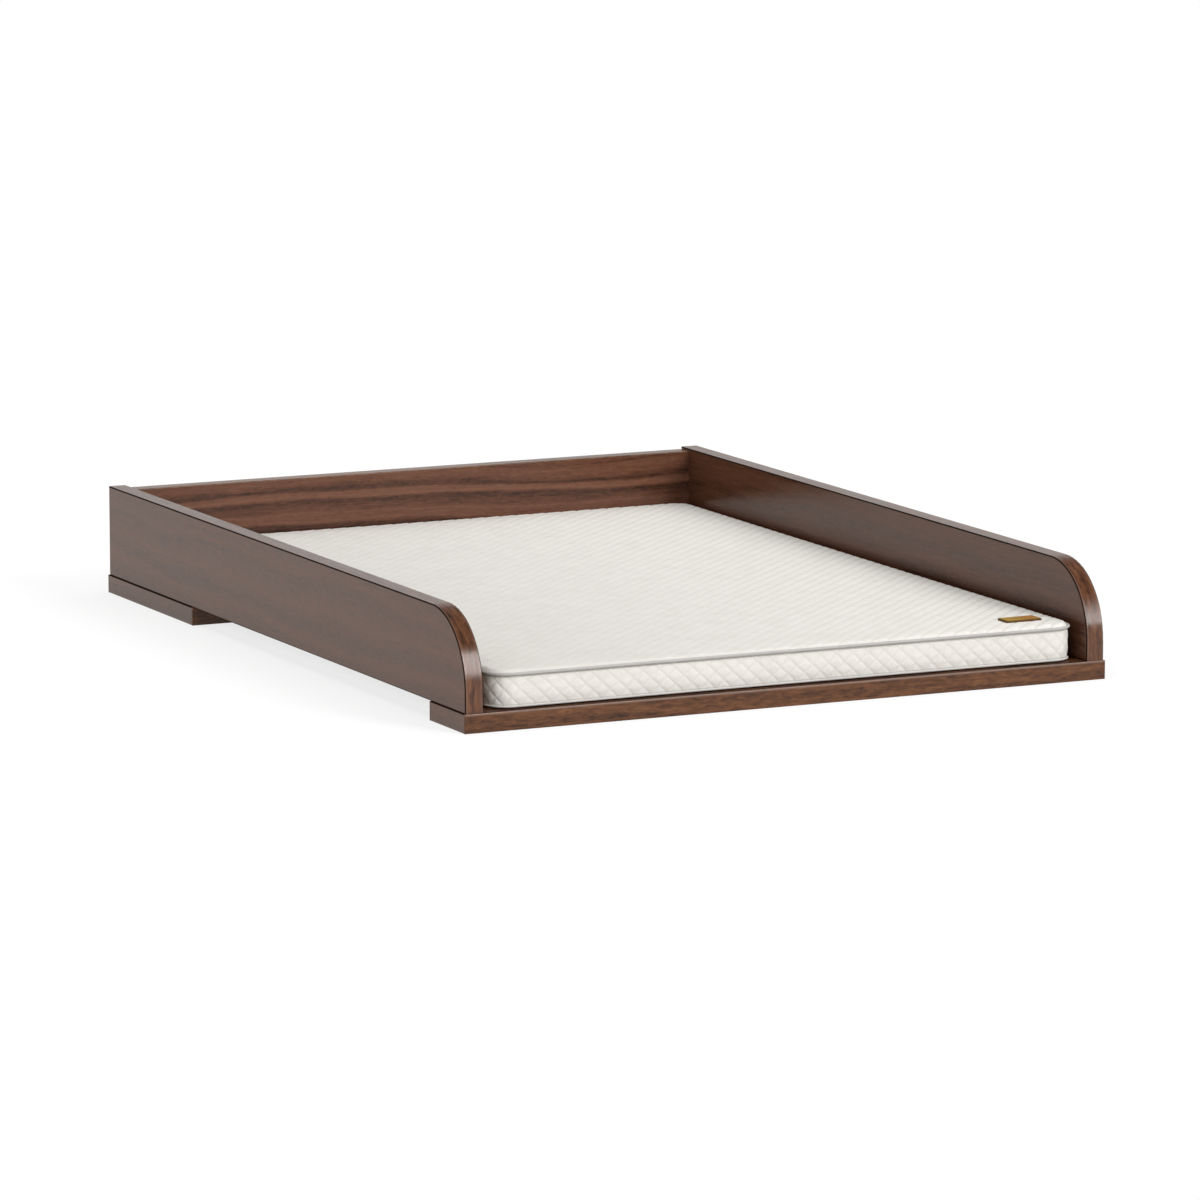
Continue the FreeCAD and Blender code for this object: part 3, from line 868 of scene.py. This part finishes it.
def make_border():
    """A closed ring of quilted cloth that bulges between the pipings and tucks in at its two seams. Its
    rows keep step with its columns, so that the stitch lines run through the mesh's points."""
    columns = border_diamond_count * border_cells
    samples = outline_samples(columns)
    row_step = border_diamond_height / border_cells
    row_count = round((border_high - border_low) / row_step)
    points = []
    shades = []
    for row in range(row_count + 1):
        z = border_low + (border_high - border_low) * row / row_count
        up = (row - row_count // 2) / border_cells
        inset, ease = border_profile(z)
        for column, (edge, outward) in enumerate(samples):
            around = column / border_cells
            full = puff(around + up + border_stitch_shift[0], around - up + border_stitch_shift[1])
            place = edge - outward * (inset - border_puff * full * ease)
            points.append((place.x, place.y, z))
            shades.append(groove_shade(full, border_groove_shade))
    for z in (border_high, border_low):
        for edge, outward in samples:
            place = edge - outward * (border_inset + border_pull_top + border_thickness)
            points.append((place.x, place.y, z))
            shades.append(0.0)
    border = mesh_piece("mattress_quilted_border", points, ring_faces(row_count + 3, columns, True))
    store_grooves(border, shades)
    return border


def make_piping(name, height, radius, setback):
    samples = outline_samples(piping_steps)
    points = []
    for side in range(piping_sides):
        angle = 2 * math.pi * side / piping_sides
        inset = setback + radius * (1 - math.cos(angle))
        z = height + radius * math.sin(angle)
        for edge, outward in samples:
            place = edge - outward * inset
            points.append((place.x, place.y, z))
    return mesh_piece(name, points, ring_faces(piping_sides, piping_steps, True))


def make_base_cloth():
    """The underside, flat where it lies on the rails and turned up to the border at its edge."""
    low, high = bottom_cover_low, bottom_cover_high
    middle = (low + high) / 2
    depth = high.z - low.z
    half = ((high.x - low.x) / 2, (high.y - low.y) / 2)
    inset = half_width - half[0]
    skirt = [(outset, share * depth) for outset, share in base_rings]
    return capped_grid("mattress_base_cloth", middle, half, corner_radius - inset, base_cells,
                       lambda x, y: high.z, skirt, draw_in)


def make_label():
    half = [side - label_bevel for side in label_half]
    skirt = [(0.7 * label_bevel, 0.3 * label_bevel), (label_bevel, label_bevel),
             (label_bevel, label_depth)]
    return capped_grid("mattress_leather_label", label_middle, half, label_corner, label_cells,
                       lambda x, y: crown_height(x, y) + label_thickness, skirt)


def dress(piece, material, body, slot, *nodes):
    piece.data.materials.append(material)
    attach(piece, body)
    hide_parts(*nodes)


def make_mattress():
    quilted = fabric("quilted_fabric", cloth_white, cloth_shade, quilt_thread, quilted=True)
    plain = fabric("plain_fabric", base_white, base_shade, base_thread)
    # The top cord's darker copy of the piping cloth is painted shade.
    shaded_piping = fabric("piping_fabric", shaded_piping_grey, piping_shade, piping_thread, piping_roughness)
    piped_low = fabric("piping_fabric_low", low_piping_grey, low_piping_shade, piping_thread,
                       piping_roughness)
    quilted_top = fabric("quilted_top_fabric", cloth_white, cloth_shade, quilt_thread, quilted=True,
                         lean=top_painted_light)
    pad = make_pad()
    dress(pad, quilted_top, "mattress", "quilted_fabric", "mattress_top_cover", "mattress_foam_core")
    border = make_border()
    dress(border, quilted, "mattress", "quilted_fabric", "mattress_border")
    base = make_base_cloth()
    dress(base, plain, "mattress", "plain_fabric", "mattress_bottom_cover")
    top_cord = make_piping("mattress_top_piping_roll", top_roll_z, top_roll_radius, top_roll_setback)
    dress(top_cord, shaded_piping, "mattress", "piping_fabric", "mattress_top_piping")
    bottom_cord = make_piping("mattress_bottom_piping_roll", bottom_roll_z, bottom_roll_radius,
                              bottom_roll_setback)
    dress(bottom_cord, piped_low, "mattress", "piping_fabric", "mattress_bottom_piping")
    label = make_label()
    dress(label, leather(), "mattress", "label_leather", "mattress_label")


# Tray

def finish_node(name, material):
    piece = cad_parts[name]
    piece.data.materials.clear()
    piece.data.materials.append(material)
    piece.data.polygons.foreach_set("use_smooth", [True] * len(piece.data.polygons))


def finish_side_panels():
    calm = {"fibre": 0.22, "lines": panel_lines}
    left = walnut("walnut_left_panel", grain_along_y, 1.0, tone=0.462, streak=0.22, figure=0.28,
                  flecks=(140.0, 320.0), lacquer=1.34, **calm)
    # The right panel's lower tone is partly painted shade: its inner face, the one in view, lies in the
    # tray's shade.
    right = walnut("walnut_right_panel", grain_along_y, 2.3, cool_walnut, tone=0.38, streak=0.32,
                   figure=0.15, flecks=(60.0, 300.0), lacquer=1.44, **calm)
    finish_node("left_side_panel", left)
    finish_node("right_side_panel", right)


def finish_back_panel():
    wood = walnut("walnut_back_panel", grain_along_x, 3.1, pink_walnut, tone=0.53, streak=1.1,
                  figure=0.50, flecks=(120.0, 420.0), sway=0.6, fibre=0.3)
    finish_node("back_panel", wood)


def finish_rails():
    for rail, seed, tone in (("front", 4.7, 0.38), ("rear", 5.9, 0.45)):
        node = rail + "_base_rail"
        wood = walnut(f"walnut_{rail}_rail", grain_along_x_flat, seed, tone=tone, lines=rail_shadow_lines(node))
        finish_node(node, wood)


def finish_side_bands():
    curved = walnut("walnut_side_bands", grain_round_corner, 6.2, strip_walnut, tone=0.46, streak=0.60,
                    rate=170.0, figure=0.95, flecks=(75.0, 270.0), lines=side_band_lines,
                    highlight=side_band_highlight, lacquer=1.46)
    upright = walnut("walnut_upright_bands", grain_along_z, 7.4)
    for side in ("left", "right"):
        finish_node(side + "_side_edge_band", curved)
        finish_node(side + "_side_rear_edge_band", upright)


def finish_straight_bands():
    flame = {"streak": 0.6, "figure": 0.85, "flecks": (90.0, 330.0)}
    long_band = walnut("walnut_long_bands", grain_along_x, 8.8, **flame)
    front_band = walnut("walnut_front_band", grain_along_x, 10.3, highlight=rail_arris_highlight, **flame)
    end_band = walnut("walnut_end_bands", grain_along_y, 9.5, tone=0.46, streak=0.3, lines=rail_end_shadow_lines)
    finish_node("back_panel_top_edge_band", long_band)
    for rail, front_wood in (("front", front_band), ("rear", long_band)):
        finish_node(rail + "_rail_front_edge_band", front_wood)
        finish_node(rail + "_rail_rear_edge_band", long_band)
        for edge in ("left", "right"):
            finish_node(f"{rail}_rail_{edge}_edge_band", end_band)


def finish_fittings():
    steel = metal("screw_steel", steel_greys, steel_roughness, steel_rate)
    finish_node("rail_screws", steel)
    finish_node("cam_bolts", steel)
    finish_node("cam_locks", metal("cam_zinc", zinc_greys, zinc_roughness, zinc_rate))
    finish_node("back_panel_dowels", beech())


def finish_tray():
    finish_side_panels()
    finish_back_panel()
    finish_rails()
    finish_side_bands()
    finish_straight_bands()
    finish_fittings()


# Studio

softbox_direction = (26.5, 29.0)
softbox_distance = 9.0
softbox_size = (2.0, 5.0)
softbox_power = 368.0
sky_horizon = 0.26
sky_zenith = 1.10
backdrop_upper = 0.66
backdrop_turn = 0.13
ceiling = 0.2
ceiling_turn = (0.34, 0.62)
floor_side = 60.0
floor_dim = (0.88, 0.88, 0.88)
floor_pale = (0.90, 0.90, 0.90)
floor_speck_rate = 0.5
floor_fade = (0.6, 2.2)
floor_shadow = 0.27
floor_glow = 0.76


def background_rays(graph):
    """1 for rays that show the background: straight from the camera, or by way of gloss or glass."""
    path = graph.node("ShaderNodeLightPath", {}).outputs
    seen = graph.math("MAXIMUM", path["Is Camera Ray"], path["Is Glossy Ray"])
    return graph.math("MAXIMUM", seen, path["Is Transmission Ray"])


def floor_material():
    """Pale to the light that bounces off it. In view it is white with a shadow near the object, and from
    below it isn't there."""
    graph = Graph("studio_floor")
    place = graph.place()
    speck = graph.cloud(place, floor_speck_rate)
    pale = graph.ramp(speck, [(0.4, floor_dim), (0.6, floor_pale)])
    plain = graph.output("ShaderNodeBsdfDiffuse", {"Color": pale})
    far = graph.smooth(graph.length(place), *floor_fade)
    shadow_share = graph.spread(far, 0.0, 1.0, floor_shadow, 0.0)
    shaded = graph.output("ShaderNodeBsdfDiffuse", {"Color": shadow_share})
    glow_share = graph.spread(far, 0.0, 1.0, floor_glow, 1.0)
    glow = graph.output("ShaderNodeEmission", {"Color": (1, 1, 1, 1), "Strength": glow_share})
    seen = graph.output("ShaderNodeAddShader", {0: shaded, 1: glow})
    lit = graph.output("ShaderNodeMixShader", {0: background_rays(graph), 1: plain, 2: seen})
    clear = graph.output("ShaderNodeBsdfTransparent", {})
    behind = graph.node("ShaderNodeNewGeometry", {}).outputs["Backfacing"]
    both = graph.output("ShaderNodeMixShader", {0: behind, 1: lit, 2: clear})
    graph.node("ShaderNodeOutputMaterial", {"Surface": both})
    return graph.material


def make_floor():
    half = floor_side / 2
    corners = [(-half, -half, 0), (half, -half, 0), (half, half, 0), (-half, half, 0)]
    floor = mesh_piece("studio_floor", corners, [(0, 1, 2, 3)])
    floor.data.materials.append(floor_material())


def make_world():
    """A soft sky, brighter overhead; the background is white low down under a dark ceiling."""
    world = bpy.data.worlds.new("studio")
    bpy.context.scene.world = world
    world.use_nodes = True
    graph = Graph("studio", world.node_tree)
    way = graph.node("ShaderNodeTexCoord", {}).outputs["Generated"]
    height = graph.split(way)[2]
    light = graph.spread(height, 0.0, 1.0, sky_horizon, sky_zenith)
    upper = graph.spread(graph.smooth(height, 0.0, backdrop_turn), 0.0, 1.0, 1.0, backdrop_upper)
    overhead = graph.spread(graph.smooth(height, *ceiling_turn), 0.0, 1.0, 0.0, backdrop_upper - ceiling)
    backdrop = graph.math("SUBTRACT", upper, overhead)
    mixed = graph.output("ShaderNodeMix", {0: background_rays(graph), 2: light, 3: backdrop})
    sky = graph.output("ShaderNodeBackground", {"Color": (1, 1, 1, 1), "Strength": mixed})
    graph.node("ShaderNodeOutputWorld", {"Surface": sky})


def make_softbox():
    """A lamp facing the object, at a turn to the right of the front and a height, both in degrees."""
    lamp = bpy.data.lights.new("softbox", "AREA")
    lamp.shape = "RECTANGLE"
    lamp.size, lamp.size_y = softbox_size
    lamp.energy = softbox_power
    around, above = (math.radians(angle) for angle in softbox_direction)
    level = math.cos(above)
    way = Vector((math.sin(around) * level, -math.cos(around) * level, math.sin(above)))
    box = bpy.data.objects.new("softbox", lamp)
    box.location = way * softbox_distance
    box.rotation_euler = way.to_track_quat("Z", "Y").to_euler()
    bpy.context.scene.collection.objects.link(box)


def make_camera():
    lens = bpy.data.cameras.new("camera")
    lens.lens = camera_lens
    lens.sensor_width = camera_sensor
    camera = bpy.data.objects.new("camera", lens)
    camera.location = camera_place
    camera.rotation_euler = camera_turn
    bpy.context.scene.collection.objects.link(camera)
    bpy.context.scene.camera = camera


make_camera()
make_floor()
make_world()
make_softbox()
make_mattress()
finish_tray()
bpy.context.scene.view_settings.view_transform = "Standard"
